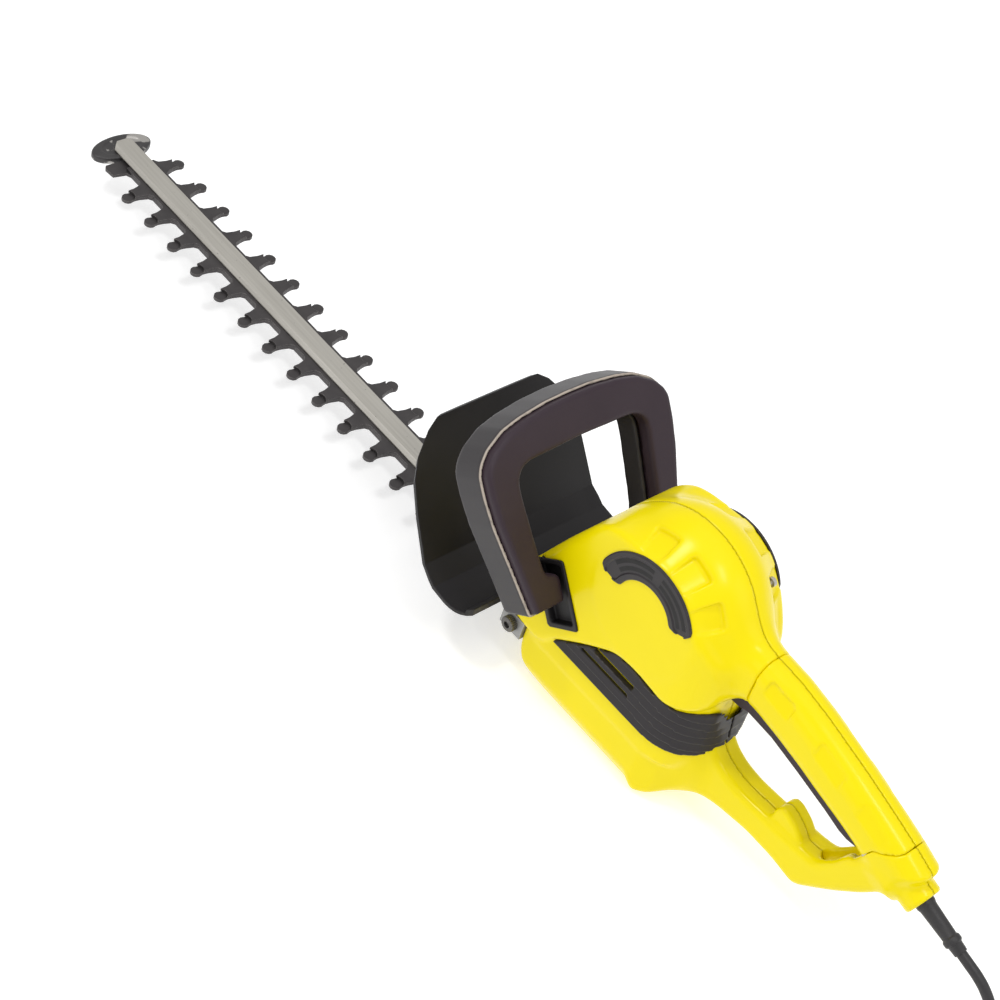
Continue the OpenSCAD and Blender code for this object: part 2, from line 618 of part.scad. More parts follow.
// Free cord: out of the strain relief, down, and round on the floor to its plug
cord_route = concat([cord_exit, cord_exit + 7 * relief_dir], [[839, 0, 46], [847, 0, 42],
  [856, 0, 34], [864, -1, 23], [871, -3, 10], [877, -7, -3], [883, -13, -15], [890, -21, -25],
  [897, -31, -32], [902, -43, -34.5], [903, -56, -34.5], [899, -69, -34.5], [891, -80, -34.5],
  [880, -88, -34.5], [867, -92, -34], [853, -93, -31.5], [841, -93, -29.6], [830, -93, -29.5]]);
plug_x = 830;
plug_y = -93;
plug_z = floor_z + 8.5;
module cord() color(near_black) placed() tube(cord_route, cord_d / 2, 10);
module plug() color(near_black) placed() translate([plug_x, plug_y, plug_z]) {
  flat([[0, -4.5], [0, 4.5], [-14, 6], [-24, 12], [-30, 18], [-44, 18], [-46, 16], [-46, -16],
    [-44, -18], [-30, -18], [-24, -12], [-14, -6]], -8.5, 8.5);
  for (s = [-9.5, 9.5]) translate([-65, s, 0]) rotate([0, 90, 0]) cylinder(r = 2.4, h = 20);
}

housing_left();
housing_right();
belly_trim_left();
belly_trim_right();
vent_left();
vent_right();
grip_cover_left();
grip_cover_right();
front_bail();
handle_switch_bar();
handle_socket_left();
handle_socket_right();
hand_guard();
guard_screws();
gearcase_base();
gearcase_cover();
side_bolts();
comb_bolts();
guide_bar();
bar_screws();
tip_cap();
fixed_comb();
cutter_blade();
cutter_pivot_pin();
connecting_rod();
drive_gear();
gear_shaft();
pinion();
armature_shaft();
armature_core();
armature_windings();
commutator();
motor_fan();
stator();
field_coils();
lower_bearing();
upper_bearing();
brush_holders();
carbon_brushes();
trigger();
trigger_pin();
trigger_spring();
rear_switch();
rear_plunger();
front_switch();
front_plunger();
capacitor();
inner_lead();
cord_clamp();
strain_relief();
cord();
plug();
housing_screws();
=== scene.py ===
import math

import bpy
import bmesh
import numpy as np
from mathutils import Euler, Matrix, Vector


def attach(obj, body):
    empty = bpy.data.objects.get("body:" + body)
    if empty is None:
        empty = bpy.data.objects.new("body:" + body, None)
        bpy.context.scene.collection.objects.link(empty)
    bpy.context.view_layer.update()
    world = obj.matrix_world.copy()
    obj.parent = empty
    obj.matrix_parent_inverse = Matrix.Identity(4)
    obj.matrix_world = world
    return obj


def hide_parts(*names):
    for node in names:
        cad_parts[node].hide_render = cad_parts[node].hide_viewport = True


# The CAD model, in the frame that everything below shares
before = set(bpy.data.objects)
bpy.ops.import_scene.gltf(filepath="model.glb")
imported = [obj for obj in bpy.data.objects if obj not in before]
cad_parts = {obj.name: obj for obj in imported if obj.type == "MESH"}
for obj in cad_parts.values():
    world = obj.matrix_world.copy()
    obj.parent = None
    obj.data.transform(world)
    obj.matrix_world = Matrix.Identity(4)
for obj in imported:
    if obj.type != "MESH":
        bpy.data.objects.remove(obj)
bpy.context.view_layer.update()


# Camera: a long lens that looks down on the trimmer from its left and rear. It stands far enough off
# for the blade to keep its straight sides.
studio = bpy.context.scene
lens = bpy.data.cameras.new("studio_lens")
lens.lens, lens.sensor_width, lens.clip_end = 78.64, 36, 20
camera = bpy.data.objects.new("studio_camera", lens)
camera.location = (0.62363, -0.85982, 1.11193)
camera.rotation_euler = Euler([math.radians(a) for a in (43.593, -13.885, 49.341)])
studio.collection.objects.link(camera)
studio.camera = camera
studio.view_settings.view_transform = "Standard"


# Floor: a wide sheet of matt white board that the trimmer stands on. It glows a little, as a board
# lit from below does, so that shadows on it stay light.
def mesh_piece(name, points, faces, body="machine", smooth=True):
    """A new piece from points in metres and its faces, riding on a body."""
    mesh = bpy.data.meshes.new(name)
    mesh.from_pydata(points, [], faces)
    mesh.validate()
    mesh.polygons.foreach_set("use_smooth", [smooth] * len(mesh.polygons))
    piece = bpy.data.objects.new(name, mesh)
    studio.collection.objects.link(piece)
    if body:
        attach(piece, body)
    return piece


class Value:
    """One socket of a finish, so that its shader maths reads as plain expressions."""

    def __init__(self, finish, socket):
        self.finish, self.socket = finish, socket

    def math(self, operation, *values):
        return self.finish.add("Math", {"operation": operation}, *values)

    def __add__(self, other):
        return self.math("ADD", self, other)

    def __sub__(self, other):
        return self.math("SUBTRACT", self, other)

    def __mul__(self, other):
        return self.math("MULTIPLY", self, other)

    def __rsub__(self, other):
        return self.math("SUBTRACT", other, self)

    __radd__, __rmul__ = __add__, __mul__

    def between(self, low, high):
        """0 below low, 1 above high, and smooth from one to the other."""
        return self.finish.add("MapRange", {"interpolation_type": "SMOOTHSTEP"}, self, low, high)


class Finish:
    """A procedural material. add() makes any node; paint() sets the surface shader."""

    def __init__(self, name):
        self.material = bpy.data.materials.new(name)
        self.material.use_nodes = True
        self.tree = self.material.node_tree
        self.surface = self.tree.nodes["Principled BSDF"]
        self.place = self.add("TexCoord", {}, out="Object")

    def feed(self, socket, value):
        if isinstance(value, Value):
            self.tree.links.new(value.socket, socket)
        elif isinstance(value, (tuple, list)) and len(value) == 3 and socket.type == "RGBA":
            socket.default_value = (*value, 1)
        else:
            socket.default_value = value

    def add(self, kind, settings, *values, out=0, **named):
        node = self.tree.nodes.new("ShaderNode" + kind)
        for key, setting in settings.items():
            setattr(node, key, setting)
        for socket, value in zip(node.inputs, values):
            self.feed(socket, value)
        for key, value in named.items():
            self.feed(node.inputs[key.replace("_", " ")], value)
        return Value(self, node.outputs[out])

    def noise(self, size, detail=3, roughness=0.5, place=None):
        """Cloudy noise whose lumps are size metres across."""
        return self.add("TexNoise", {}, Vector=place or self.place, Scale=1 / size, Detail=detail,
                        Roughness=roughness)

    def stretched(self, x, y, z):
        """The object's own coordinates, scaled along its axes."""
        return self.add("VectorMath", {"operation": "MULTIPLY"}, self.place, (x, y, z))

    def mix(self, amount, first, second):
        """From one colour to another."""
        node = self.tree.nodes.new("ShaderNodeMix")
        node.data_type = "RGBA"
        for socket, value in ((node.inputs[0], amount), (node.inputs[6], first), (node.inputs[7], second)):
            self.feed(socket, value)
        return Value(self, node.outputs[2])

    def relief(self, height, strength, depth, normal=None):
        """A surface roughened by a height from 0 to 1 over depth metres."""
        named = {"Height": height, "Strength": strength, "Distance": depth}
        if normal:
            named["Normal"] = normal
        return self.add("Bump", {}, **named)

    def rounded(self, radius):
        """Edges that look rounded to a radius in metres."""
        return self.add("Bevel", {"samples": 6}, radius)

    def edges(self, radius):
        """1 on outer edges and 0 on flat faces."""
        rounded = self.rounded(radius)
        true = self.add("NewGeometry", {}, out="Normal")
        same = self.add("VectorMath", {"operation": "DOT_PRODUCT"}, rounded, true, out="Value")
        return (1 - same).between(0.02, 0.3)

    def paint(self, **named):
        for key, value in named.items():
            self.feed(self.surface.inputs[key.replace("_", " ")], value)
        return self.material


board = Finish("white_board")
fibres = board.noise(0.004)
board.paint(Base_Color=board.mix(fibres, (0.70, 0.70, 0.70), (0.73, 0.73, 0.73)), Roughness=0.9,
            Specular_IOR_Level=0.2, Emission_Strength=0.5,
            Emission_Color=board.mix(fibres, (1.0, 1.0, 1.0), (0.98, 0.98, 0.98)))
floor_half = 6
floor_corners = [(-floor_half, -floor_half, 0), (floor_half, -floor_half, 0),
                 (floor_half, floor_half, 0), (-floor_half, floor_half, 0)]
floor = mesh_piece("studio_floor", floor_corners, [(0, 1, 2, 3)], None)
floor.data.materials.append(board.material)


# Lamps: three broad soft boxes and two small ones in a white room. The narrow one draws a streak of
# light along the grip, and the small square one puts crisp spots on the dome.
def lamp(name, place, size, power, aim=(0.1, 0, 0.08)):
    """A rectangular soft box of a size in metres and a power in watts."""
    light = bpy.data.lights.new(name, "AREA")
    light.shape, light.size, light.size_y, light.energy = "RECTANGLE", size[0], size[1], power
    piece = bpy.data.objects.new(name, light)
    piece.location = place
    piece.rotation_euler = (Vector(aim) - Vector(place)).to_track_quat("-Z", "Y").to_euler()
    studio.collection.objects.link(piece)


lamp("soft_top", (0.1, 0.2, 2.2), (2.4, 1.8), 7)
lamp("soft_front", (-0.3, -2.0, 1.3), (1.8, 1.2), 5)
lamp("soft_right", (2.0, 0.6, 1.4), (1.2, 1.4), 4.5)
lamp("streak", (1.02, -0.30, 1.72), (0.10, 0.55), 5, aim=(0.3, 0, 0.13))
lamp("small_key", (-0.55, -0.75, 1.9), (0.22, 0.22), 8)
studio.world = bpy.data.worlds.new("studio_air")
studio.world.use_nodes = True
room_light = studio.world.node_tree.nodes["Background"]
room_light.inputs["Color"].default_value = (1, 1, 1, 1)
room_light.inputs["Strength"].default_value = 0.68


# Housing: two clamshells moulded in bright yellow plastic, screwed together along the middle plane.
# Each half is one flowing form: motor dome with finger pockets, nose, lower frame, grip and lower bar.
# Forms are worked out in millimetres, as distances that are below 0 inside the plastic.
mm = 0.001


def eased(points, reach, steps=5):
    """A closed outline whose corners turn smoothly, starting at most reach before each corner."""
    out = []
    for before, corner, after in zip(points[-1:] + points[:-1], points, points[1:] + points[:1]):
        corner = np.array(corner, float)
        ends = []
        for other in (before, after):
            way = np.array(other, float) - corner
            ends.append(corner + way * min(reach / np.linalg.norm(way), 0.48))
        for t in np.linspace(0, 1, steps):
            out.append((1 - t) ** 2 * ends[0] + 2 * t * (1 - t) * corner + t * t * ends[1])
    return out


def inside(outline, a, b):
    """How far each point (a, b) is outside a closed outline, below 0 inside it."""
    a, b = np.broadcast_arrays(a, b)
    far, odd = np.full(a.shape, 1e9), np.zeros(a.shape, bool)
    for p, q in zip(outline, np.roll(outline, -1, 0)):
        (pa, pb), (ea, eb) = p, q - p
        t = np.clip(((a - pa) * ea + (b - pb) * eb) / (ea * ea + eb * eb + 1e-12), 0, 1)
        far = np.minimum(far, (a - pa - t * ea) ** 2 + (b - pb - t * eb) ** 2)
        if abs(eb) > 1e-9:
            odd ^= ((b >= pb) != (b >= q[1])) & (a < pa + (b - pb) * ea / eb)
    return np.where(odd, -1, 1) * np.sqrt(far)


def both(one, two, edge):
    """Inside both forms, with the edge between them rounded."""
    return np.minimum(np.maximum(one, two) + edge, 0) + np.hypot(
        np.maximum(one + edge, 0), np.maximum(two + edge, 0)) - edge


def merged(one, two, fillet):
    """Inside either form, with a fillet where they meet."""
    near = np.maximum(fillet - np.abs(one - two), 0) / fillet
    return np.minimum(one, two) - near * near * fillet / 4


def carved(form, tool, edge):
    """A form with a tool's shape cut out of it."""
    return -merged(-form, tool, edge)


def skin(name, form, low, pitch, body="machine", seam=None, lay=None):
    """A smooth closed mesh on the surface of a form sampled on a grid; low and pitch in millimetres.
    Points next to y = seam are moved onto it, and lay turns the grid's frame into the shared one."""
    solid = form < 0
    cut = [slice(None, -1), slice(1, None)]
    count = sum(solid[cut[i], cut[j], cut[k]].astype(int) for i in (0, 1) for j in (0, 1) for k in (0, 1))
    mixed = (count > 0) & (count < 8)
    cells = np.argwhere(mixed)
    number = np.full(mixed.shape, -1)
    number[mixed] = np.arange(len(cells))
    place, hits = np.zeros((len(cells), 3)), np.zeros(len(cells))
    for axis in range(3):
        for i in (0, 1):
            for j in (0, 1):
                corner = np.insert([i, j], axis, 0)
                first = form[tuple((cells + corner).T)]
                step = np.eye(3, dtype=int)[axis]
                second = form[tuple((cells + corner + step).T)]
                crosses = (first < 0) != (second < 0)
                share = np.where(crosses, first / np.where(crosses, first - second, 1), 0)
                place += crosses[:, None] * (corner + share[:, None] * step)
                hits += crosses
    place = (cells + place / hits[:, None]) * pitch + np.array(low)
    if seam is not None:
        place[:, 1] = np.where(np.abs(place[:, 1] - seam) < pitch * 0.99, seam, place[:, 1])
    if lay is not None:
        place = place @ lay[0].T + lay[1]
    faces = []
    for axis in range(3):
        one, two = [(axis + 1) % 3, (axis + 2) % 3]
        here, there = [slice(None)] * 3, [slice(None)] * 3
        here[axis], there[axis] = slice(None, -1), slice(1, None)
        here[one] = there[one] = here[two] = there[two] = slice(1, -1)
        a, b = solid[tuple(here)], solid[tuple(there)]
        for leaving in (True, False):
            spots = np.argwhere((a & ~b) if leaving else (~a & b))
            spots[:, one] += 1
            spots[:, two] += 1
            ring = [(0, 0), (1, 0), (1, 1), (0, 1)]
            quad = []
            for d, e in ring if leaving else ring[::-1]:
                at = spots.copy()
                at[:, one] -= 1 - d
                at[:, two] -= 1 - e
                quad.append(number[tuple(at.T)])
            faces.append(np.stack(quad, 1))
    return mesh_piece(name, (place * mm).tolist(), np.concatenate(faces).tolist(), body)


def grid(low, pitch, *counts):
    """The x, y and z of every point of a grid, each along its own axis of an array."""
    x, y, z = [start + pitch * np.arange(count) for start, count in zip(low, counts)]
    return x[:, None, None], y[None, :, None], z[None, None, :]


pitch = 1.25
low = (64.0, -43.75, -4.0)
gx, gy, gz = grid(low, pitch, 282, 38, 172)
half = np.abs(gy)

# The nose and belly: wide at the motor, narrower at the front, round at the rear in plan
body_half = 40
body_side = eased([(75, 46), (75, 78), (80, 92), (102, 137), (119, 168), (130, 178), (146, 183), (172, 182),
                   (220, 158), (237, 142), (242, 122), (237, 104), (227, 97), (214, 93.5), (195, 95.7),
                   (180, 97), (167, 93.5), (146, 78.4), (123, 59), (112, 46)], 7)
body_plan = [(60, 0), (60, 36), (70, 36), (94, body_half), (208, body_half)] + [
    (208 + body_half * math.sin(t), body_half * math.cos(t)) for t in np.linspace(0.15, math.pi / 2, 9)]
body_plan = np.array(body_plan + [(x, -y) for x, y in body_plan[::-1]])
body = both(inside(body_side, gx, gz), inside(body_plan, gx, half), 5)
slope = (half - body_half) * 0.62 + ((gz - 137) * 0.42 - (gx - 106) * 0.91) * 0.55
body = both(body, slope, 3)

# The motor dome: a drum with rounded shoulders and eight radial finger pockets
dome_x, dome_z, dome_r, dome_low = 175, 143, 59, 92
drum = np.hypot(gx - dome_x, gz - dome_z)
turn = np.degrees(np.arctan2(gz - dome_z, gx - dome_x))
drum_line = np.array(eased([(-90, -body_half), (41.5, -body_half), (43.5, -35.5), (52.5, -22), (56.5, -15),
                            (dome_r, -7), (dome_r, 30), (-90, 30)], 5))
dome = np.maximum(inside(drum_line, drum, -half), dome_low - gz)
pocket_half, pocket_end, pocket_floor = 9.2, 21, 42
for at in (36, 72, 108, 144):
    gap = (turn - at + 180) % 360 - 180
    pocket = both(np.abs(np.radians(gap)) * 50 - pocket_half, pocket_end - half, 2)
    pocket = both(pocket, pocket_floor + (36 - half) * 0.42 - drum, 1)
    dome = carved(dome, pocket, 1.4)

# The recessed wall behind the belly trim, and the frame below it that the machine rests on
core_plan = [(x - (5.5 if x > 200 else 0), max(min(y, 34.5), -34.5)) for x, y in body_plan]
core_side = eased([(104, 42), (104, 78), (140, 94), (205, 98), (238, 108), (242, 60), (232, 42)], 3)
core = both(inside(np.array(core_side), gx, gz), inside(np.array(core_plan), gx, half), 2)
frame_side = eased([(96, 50), (96, 24), (103, 11), (116, 2), (128, 0), (214, 0), (228, 6), (238, 18),
                    (246, 32), (243, 52), (230, 59), (121, 57), (114, 50)], 9)
frame_plan = [(88, 36), (212, 36), (226, 30), (238, 20), (258, 9)]
frame_plan = np.array(frame_plan + [(x, -y) for x, y in frame_plan[::-1]])
foot = both(inside(frame_side, gx, gz), inside(frame_plan, gx, half), 4)
foot = both(foot, (half - 36) * 0.85 + (14.5 - gz) * 0.5 + np.clip((gx - 206) * -0.35, -20, 0), 2)

# The rear grip, a rounded tube that ends in a collar round the cord
grip_side = eased([(214, 166), (238, 161), (255, 159), (272, 158), (298, 153), (338, 142.4), (368, 133),
                   (388, 126), (404, 119.5), (395, 84), (378, 88.5), (366, 93.3), (355, 97.6), (340, 101.8),
                   (320, 106.3), (300, 111.3), (280, 115.3), (260, 118.3), (214, 119)], 3)
grip_half = 15.8
grip = both(inside(grip_side, gx, gz), half - grip_half, 14.5)
tilt = math.radians(14)
exit_x, exit_z, collar_r = 404, 98, 12.5
out_along = (gx - exit_x) * math.cos(tilt) - (gz - exit_z) * math.sin(tilt)
out_round = np.hypot((gx - exit_x) * math.sin(tilt) + (gz - exit_z) * math.cos(tilt), gy)
collar = both(out_round - collar_r, np.abs(out_along + 5) - 8.5, 2)

# The lower bar with its finger step, and the corner block that ties it to the grip
bar_side = eased([(220, 62), (220, 14), (236, 14), (247, 21), (265, 27.5), (291, 32), (314, 32), (334, 29),
                  (340, 33), (359, 53.5), (376, 73.5), (386, 88), (393, 99), (384, 106), (366, 98),
                  (356, 88), (351, 76), (341, 62), (330, 60), (300, 57), (276, 55), (262, 56.5), (251, 61),
                  (244, 68)], 5)
bar_half = 12.4 + np.clip((gx - 330) * 0.06, 0, 2)
bar = both(inside(bar_side, gx, gz), half - bar_half, 5)
step_side = eased([(299, 40), (300, 64), (303, 71), (309, 71.5), (319, 67), (326, 61), (329, 45)], 3)
step = both(inside(step_side, gx, gz), half - 8.5, 3)
dish_x, dish_z, dish_r = gx - 351, gz - 73, 8
dish_along = (dish_x * 0.55 + dish_z * 0.83) / 2.4
dish = np.hypot(np.hypot(dish_along, half), dish_z * 0.55 - dish_x * 0.83) - dish_r
shell = both(merged(merged(body, dome, 6), grip, 16), half - body_half, 1)
shell = merged(shell, core, 1)
shell = merged(shell, merged(foot, merged(bar, step, 3), 14), 6)
shell = carved(merged(shell, collar, 3), dish, 2)

# Openings: the trigger's slot, the loop's feet and the room for the gearcase at the front
slot_side = eased([(238, 99), (238, 140), (270, 142), (300, 136), (332, 126), (362, 117), (373, 112),
                   (373, 98), (360, 88)], 2)
shell = carved(shell, both(inside(slot_side, gx, gz), half - 8.6, 1), 0.6)
lean = math.radians(38.3)
loop_x, loop_z = 114.5, 98
across = (gx - loop_x) * math.cos(lean) + (gz - loop_z) * math.sin(lean)
along = (gz - loop_z) * math.cos(lean) - (gx - loop_x) * math.sin(lean)
foot_hole = both(both(np.abs(across + 3.7) - 12.6, np.abs(along + 0.5) - 23, 2), 33.4 - half, 1)
shell = carved(shell, foot_hole, 0.8)
gear_room = both(both(gx - 171, half - 33, 1), np.abs(gz - 43) - 12, 1)
shell = carved(shell, gear_room, 0.5)

# Covers over the rear grip: each has three flat pads and is held by a thin seam all round
grip_axis = np.interp(gx, [260, 280, 300, 320, 340, 360, 380, 400],
                      [137, 135, 131.8, 126.9, 121.4, 116.5, 111, 104])
pad_out, pad_up = 0.906, 0.423
out_pad = half * pad_out + (gz - grip_axis) * pad_up
up_pad = (gz - grip_axis) * pad_out - half * pad_up
for near, far in ((260, 282), (307, 331), (349, 374)):
    pad = both(np.abs(gx - (near + far) / 2) - (far - near) / 2, np.abs(up_pad - 4.2) - 5.5, 2.5)
    shell = carved(shell, both(pad, 16.5 - out_pad, 0.4), 0.5)
cover_side = eased([(252, 96), (251, 172), (389, 150), (384.5, 124), (369, 113), (360, 90)], 2)
cover_area = inside(cover_side, gx, gz)

# The plastic: even yellow, paler where edges are rubbed, with a fine joint along the middle plane
yellow = Finish("yellow_housing")
cloud = yellow.noise(0.05)
rub = yellow.edges(0.0015) * yellow.noise(0.004).between(0.45, 0.7)
sideways = yellow.add("SeparateXYZ", {}, yellow.place, out=1)
joint = 1 - yellow.add("Math", {"operation": "ABSOLUTE"}, sideways).between(0.00012, 0.00042)
shade = yellow.mix(cloud, (0.84, 0.69, 0.0), (0.89, 0.735, 0.0))
shade = yellow.mix(rub * 0.25, shade, (0.95, 0.84, 0.10))
yellow.paint(Base_Color=yellow.mix(joint * 0.45, shade, (0.42, 0.33, 0.001)), Roughness=cloud * 0.06 + 0.22,
             Specular_IOR_Level=0.2,
             Normal=yellow.relief(1 - joint, 0.5, 0.0004, yellow.relief(yellow.noise(0.0012), 0.12, 0.0001)))
# The two halves and their covers. The screws go in from the right, so only that half has wells.
screw_wells = [(106, 67), (212, 174), (246, 146), (390, 114), (278, 42), (364, 70), (135, 11), (192, 11)]
screw_well_r = 3.7
cover_gap = 0.15
for side in ("left", "right"):
    cut, start = np.maximum(shell, gy), low
    if side == "right":
        cut, start = cut[:, ::-1], (low[0], -low[1] - pitch * (gy.size - 1), low[2])
        for x, z in screw_wells:
            cut = np.maximum(cut, screw_well_r - np.hypot(gx - x, gz - z))
    for name, part in (("housing_", both(cut, cover_gap - cover_area, 0.3)),
                       ("grip_cover_", both(cut, cover_area + cover_gap, 0.3))):
        piece = skin(name + side + "_form", part, start, pitch, seam=0)
        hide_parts(name + side)
        piece.data.materials.append(yellow.material)


# Belly trim: a black moulded band round the lower rear of the body, in two halves. It has stepped ribs
# all along it and two long air slots near its front end.
grey = Finish("grey_plastic")
fade = grey.noise(0.03)
scuff = grey.edges(0.0012) * grey.noise(0.003).between(0.4, 0.7)
grey.paint(Base_Color=grey.mix(scuff * 0.5, grey.mix(fade, (0.024, 0.021, 0.023), (0.034, 0.030, 0.032)),
                               (0.20, 0.18, 0.17)),
           Roughness=fade * 0.12 + 0.34, Specular_IOR_Level=0.3,
           Normal=grey.relief(grey.noise(0.0007), 0.25, 0.0002))
fine = 0.85
trim_low = (118.0, -41.65, 53.0)
tx, ty, tz = grid(trim_low, fine, 156, 50, 58)
trim_half = np.abs(ty)
trim_side = eased([(121, 57.5), (146, 77.9), (167, 93), (180, 96.4), (195, 95.1), (214, 92.9), (227, 96.4),
                   (241, 100), (249, 60), (232, 57.5)], 3)
plan = inside(body_plan, tx, trim_half)
rib_pitch, rib_deep = 7.2, 2.5
ribs = (tz - 58 + np.clip(tx - 190, 0, 60) * 0.03) / rib_pitch
trim = both(inside(trim_side, tx, tz), plan + 2.9 - rib_deep * (1 - ribs % 1) ** 1.4, 0.5)
trim = np.maximum(trim, -(plan + 5.2))
slot_r = 1.9
for z, near, far in ((72.5, 143, 189), (82.3, 153, 190)):
    past_end = np.maximum(np.abs(tx - (near + far) / 2) - (far - near) / 2 + slot_r, 0)
    trim = carved(trim, np.hypot(past_end, tz - z) - slot_r, 0.3)
for side in ("left", "right"):
    cut = np.maximum(trim, ty + 0.1)
    start = trim_low
    if side == "right":
        cut = cut[:, ::-1]
        start = (trim_low[0], -trim_low[1] - fine * (ty.size - 1), trim_low[2])
    piece = skin("belly_trim_" + side + "_form", cut, start, fine)
    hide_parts("belly_trim_" + side)
    piece.data.materials.append(grey.material)


# Air inlets: an arc-shaped black grille in each side of the dome, with four curved slots in a sunk
# channel. The slots are near-black strips on the channel floor, painted shade rather than openings.
# It is one moulding, snapped into the housing, and follows the dome round its centre.
def arc_grille(name, side):
    """A grille swept round the dome's centre; side is -1 on the left and 1 on the right."""
    first, sweep, steps, end_r, channel_r = 21, 152, 40, 5, 32.7
    mesh = bmesh.new()
    profile = [(22.6, 39.5), (22.6, 40.9), (23.4, 41.4), (26.4, 41.4), (27.4, 40.5), (37.2, 40.5),
               (38.2, 41.4), (40.6, 41.4), (41.4, 40.9), (41.4, 39.5)]
    rows = []
    for i in range(steps + 1):
        t = i / steps
        angle = math.radians(first + sweep * t)
        to_end = min(t, 1 - t) * sweep * math.radians(1) * 33
        pull = end_r - math.sqrt(max(end_r ** 2 - (end_r - min(to_end, end_r)) ** 2, 0))
        row = []
        for r, out in profile:
            r += (pull if r < 33 else -pull) * (abs(r - channel_r) / 10)
            row.append(mesh.verts.new(((dome_x + r * math.cos(angle)) * mm, side * out * mm,
                                       (dome_z + r * math.sin(angle)) * mm)))
        rows.append(row)
    for one, two in zip(rows, rows[1:]):
        for j in range(len(profile) - 1):
            mesh.faces.new((one[j], one[j + 1], two[j + 1], two[j]))
        mesh.faces.new((one[-1], one[0], two[0], two[-1]))
    mesh.faces.new(rows[0])
    mesh.faces.new(rows[-1][::-1])
    slot_half, slot_steps, slot_out = 1.5, 24, 40.56
    for begin, end in ((28, 84), (96, 152)):
        for r in (30.2, 35.2):
            rungs = []
            for k in range(slot_steps + 1):
                angle = math.radians(begin + (end - begin) * k / slot_steps)
                ends = [(dome_x + (r + off) * math.cos(angle), dome_z + (r + off) * math.sin(angle))
                        for off in (-slot_half, slot_half)]
                rungs.append([mesh.verts.new((x * mm, side * slot_out * mm, z * mm)) for x, z in ends])
            for one, two in zip(rungs, rungs[1:]):
                face = mesh.faces.new((one[0], one[1], two[1], two[0]))
                # Painted shade: each slot strip takes the near-black second material
                face.material_index = 1
    bmesh.ops.recalc_face_normals(mesh, faces=mesh.faces)
    data = bpy.data.meshes.new(name)
    mesh.to_mesh(data)
    mesh.free()
    piece = bpy.data.objects.new(name, data)
    studio.collection.objects.link(piece)
    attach(piece, "machine")
    return piece


# Painted shade: a near-black finish for the slot strips, in place of the shadow inside real slots
slot_shade = Finish("slot_shadow")
slot_shade.paint(Base_Color=slot_shade.mix(slot_shade.noise(0.004), (0.004, 0.004, 0.004), (0.010, 0.009, 0.009)),
             Roughness=slot_shade.noise(0.01) * 0.2 + 0.6)
for side, sign in (("left", -1), ("right", 1)):
    piece = arc_grille("vent_" + side + "_grille", sign)
    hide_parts("vent_" + side)
    piece.data.materials.append(grey.material)
    piece.data.materials.append(slot_shade.material)


# Front loop handle: a hollow dark grey shell, open towards the rear, that leans forward over the nose.
# A pale line painted along its rear rim is a painted highlight. The switch bar lies in it and is pressed in
# with the fingers.
loop_turn = [[math.cos(lean), 0, -math.sin(lean)], [0, 1, 0], [math.sin(lean), 0, math.cos(lean)]]
loop_lay = (np.array(loop_turn), np.array([loop_x, 0, loop_z]))
loop_low = (-27.0, -86.4, -13.0)
loop_pitch = 1.2
la, ly, lz = grid(loop_low, loop_pitch, 31, 145, 117)


def all_round(points, reach):
    """A closed outline from its right half."""
    return eased(points + [(-y, z) for y, z in points[::-1] if y > 0], reach)


loop_out = inside(all_round([(68, -6), (75, 30), (81, 60), (83, 80), (83, 95), (80, 102), (73, 109.5),
                             (58, 117.5), (42, 121), (20, 123.5), (0, 124)], 3), ly, lz)
loop_gap = inside(all_round([(41, -14), (41, 16), (51.5, 18), (53.5, 30), (57, 75), (56.5, 85), (51.5, 91),
                             (44, 93), (20, 93.5), (0, 94)], 5), ly, lz)
shell_form = both(both(loop_out, -loop_gap, 1.5), np.abs(la + 12.5) - 12.5, 1.6)
shell_form = carved(shell_form, both(both(loop_out + 2, 2.4 - loop_gap, 1), -21.8 - la, 0.6), 0.3)
shell_form = carved(shell_form, both(loop_gap - 3, -7.6 - la, 0.5), 0.5)
bar_form = both(both(loop_out + 2.3, 0.2 - loop_gap, 2.5), np.abs(la + 5.9) - 12.1, 3)
bar_form = carved(bar_form, both(loop_gap - 3.4, la + 4.4, 0.5), 0.5)
loop_grey = Finish("loop_grey")
fade = loop_grey.noise(0.03)
rearward = loop_grey.add("VectorMath", {"operation": "DOT_PRODUCT"}, loop_grey.place,
                         (math.cos(lean), 0, math.sin(lean)), out="Value")
rear_rim = (loop_x * math.cos(lean) + loop_z * math.sin(lean)) * mm
# Painted highlight: a pale, patchy band painted on the rear rim face of the shell
rim = rearward.between(rear_rim - 0.0016, rear_rim - 0.0006) * loop_grey.noise(0.006).between(0.1, 0.5)
shade = loop_grey.mix(fade, (0.028, 0.025, 0.027), (0.042, 0.038, 0.040))
loop_grey.paint(Base_Color=loop_grey.mix(rim * 0.9, shade, (0.50, 0.43, 0.36)),
                Roughness=fade * 0.12 + 0.36, Specular_IOR_Level=0.3,
                Normal=loop_grey.relief(loop_grey.noise(0.0007), 0.25, 0.0002))
warm = Finish("warm_black_plastic")
fade = warm.noise(0.03)
worn = warm.edges(0.0015) * warm.noise(0.004).between(0.45, 0.7)
warm.paint(Base_Color=warm.mix(worn * 0.35, warm.mix(fade, (0.026, 0.015, 0.022), (0.036, 0.022, 0.031)),
                               (0.16, 0.10, 0.09)),
           Roughness=fade * 0.12 + 0.42, Specular_IOR_Level=0.3,
           Normal=warm.relief(warm.noise(0.0007), 0.25, 0.0002))


def dress(finish, *nodes):
    """Gives CAD nodes a finish."""
    for node in nodes:
        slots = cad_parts[node].data.materials
        slots.clear()
        slots.append(finish)


